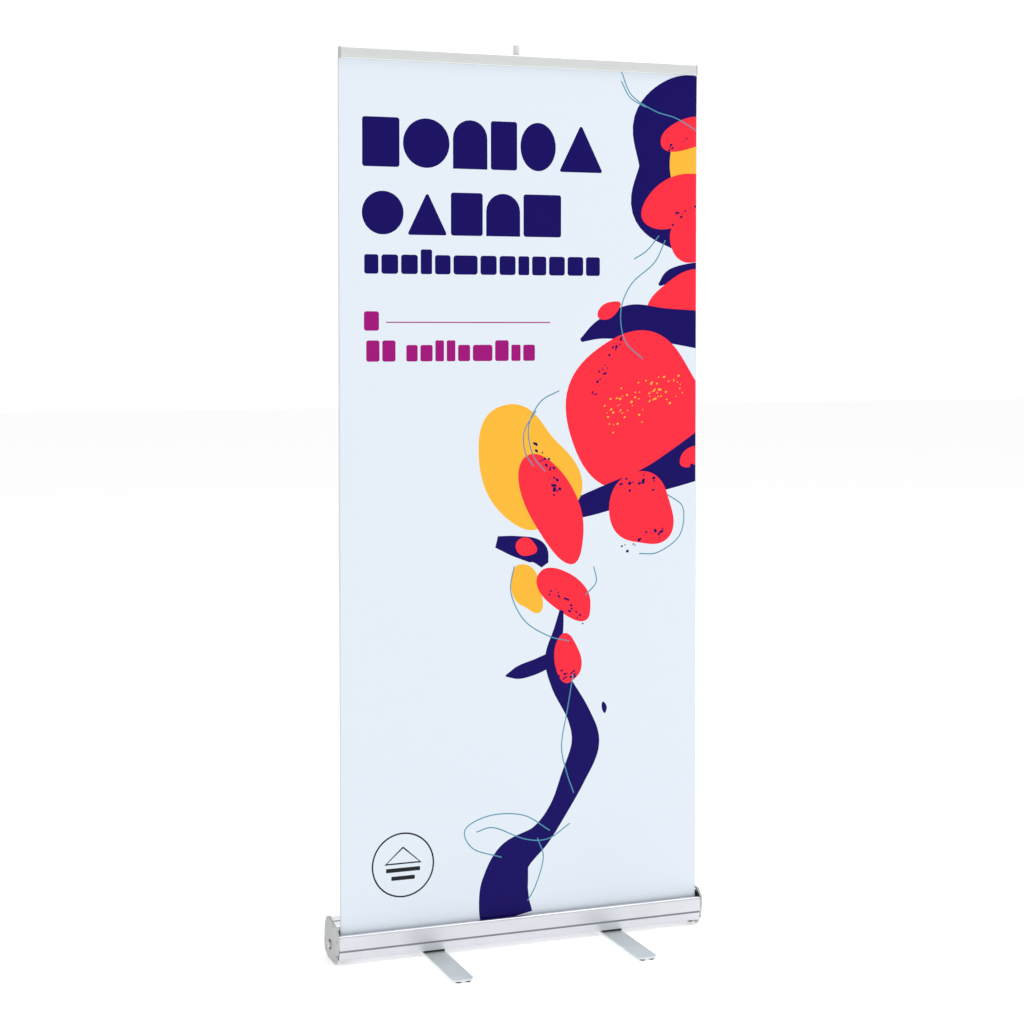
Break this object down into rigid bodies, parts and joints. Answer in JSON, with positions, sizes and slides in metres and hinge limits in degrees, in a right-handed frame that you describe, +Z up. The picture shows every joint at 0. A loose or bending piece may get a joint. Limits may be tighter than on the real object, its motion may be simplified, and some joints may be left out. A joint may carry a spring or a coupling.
{
  "type": "roll-up banner stand",
  "caption": "Free-standing roll-up banner stand: a spring roller in an aluminium base, a printed film, a top rail on a leaning pole, and flat feet that fold under the base.",
  "frame": {"origin": "on the floor, under the middle of the whole stand", "axes": "+Z up, +X to the right as seen from the front, the printed face looks towards -Y"},
  "size_m": [0.884, 0.4066, 2.0052],
  "materials": {
    "base_aluminium": "satin anodised extrusion",
    "roller_aluminium": "mill finish tube",
    "pole_aluminium": "satin anodised tube",
    "rail_aluminium": "satin anodised extrusion",
    "foot_steel": "silver powder coat",
    "cap_plastic": "light grey moulding",
    "black_plastic": "black moulding",
    "tip_plastic": "pale ivory moulding",
    "zinc_steel": "yellowish zinc plate",
    "screw_steel": "bright steel",
    "spring_steel": "drawn spring wire",
    "film": "printed polyester film, satin",
    "rubber": "matt black rubber",
    "elastic": "braided elastic cord"
  },
  "bodies": {
    "base": {"axle_nut_left": "tip_plastic", "axle_nut_right": "tip_plastic", "banner_web": "film", "base_buffer_left": "rubber", "base_buffer_right": "rubber", "base_shell": "base_aluminium", "cap_screw_cover_left": "screw_steel", "cap_screw_cover_right": "screw_steel", "cap_screw_low_front_left": "screw_steel", "cap_screw_low_front_right": "screw_steel", "cap_screw_low_rear_left": "screw_steel", "cap_screw_low_rear_right": "screw_steel", "cap_screw_panel_left": "screw_steel", "cap_screw_panel_right": "screw_steel", "end_cap_left": "cap_plastic", "end_cap_right": "cap_plastic", "foot_guide_left": "black_plastic", "foot_guide_right": "black_plastic", "foot_nut_plate_left": "screw_steel", "foot_nut_plate_right": "screw_steel", "foot_pivot_screw_left": "screw_steel", "foot_pivot_screw_right": "screw_steel", "front_panel": "base_aluminium", "idler_axle": "zinc_steel", "pole_socket": "black_plastic", "slot_guide_left": "black_plastic", "slot_guide_right": "black_plastic", "spring_arbor": "zinc_steel", "spring_collar": "zinc_steel", "top_cover": "base_aluminium"},
    "foot_left": {"foot_left": "foot_steel", "foot_pad_left_front_a": "rubber", "foot_pad_left_front_b": "rubber", "foot_pad_left_rear_a": "rubber", "foot_pad_left_rear_b": "rubber"},
    "foot_right": {"foot_right": "foot_steel", "foot_pad_right_front_a": "rubber", "foot_pad_right_front_b": "rubber", "foot_pad_right_rear_a": "rubber", "foot_pad_right_rear_b": "rubber"},
    "pole": {"pole_lower": "pole_aluminium", "pole_middle": "pole_aluminium", "pole_upper": "pole_aluminium", "pole_ferrule_low": "zinc_steel", "pole_ferrule_high": "zinc_steel", "pole_base_plug": "black_plastic", "pole_tip": "tip_plastic", "pole_elastic_cord": "elastic"},
    "top_rail": {"rail_front": "rail_aluminium", "rail_back": "rail_aluminium", "rail_grip_strip": "rubber", "rail_cap_left": "cap_plastic", "rail_cap_right": "cap_plastic", "banner_sheet": "film"},
    "roller": {"roller_tube": "roller_aluminium", "banner_roll": "film", "roller_plug_idler": "black_plastic", "roller_plug_spring": "black_plastic", "spring_drive_plug": "black_plastic", "torsion_spring": "spring_steel"}
  },
  "joints": [
    {"name": "foot_left_swivel", "type": "hinge", "parent": "base", "child": "foot_left", "pos_m": [-0.2125, 0.00475, 0.005], "axis": [0, 0, 1], "range_deg": [-90, 0]},
    {"name": "foot_right_swivel", "type": "hinge", "parent": "base", "child": "foot_right", "pos_m": [0.2125, 0.00475, 0.005], "axis": [0, 0, 1], "range_deg": [0, 90]},
    {"name": "pole_lift", "type": "slide", "parent": "base", "child": "pole", "axis": [0, -0.0294, 0.9996], "range_m": [0, 0.045]},
    {"name": "rail_drop", "type": "slide", "parent": "pole", "child": "top_rail", "axis": [0, 0, 1], "range_m": [-1.87, 0], "deforming": ["banner_sheet"]},
    {"name": "roller_spin", "type": "hinge", "parent": "base", "child": "roller", "pos_m": [0, 0.04775, 0.0338], "axis": [1, 0, 0], "range_deg": [-5800, 0]}
  ],
  "couplings": [
    {"joint": "roller_spin", "follows": "rail_drop", "rad_per_m": 54.05}
  ]
}
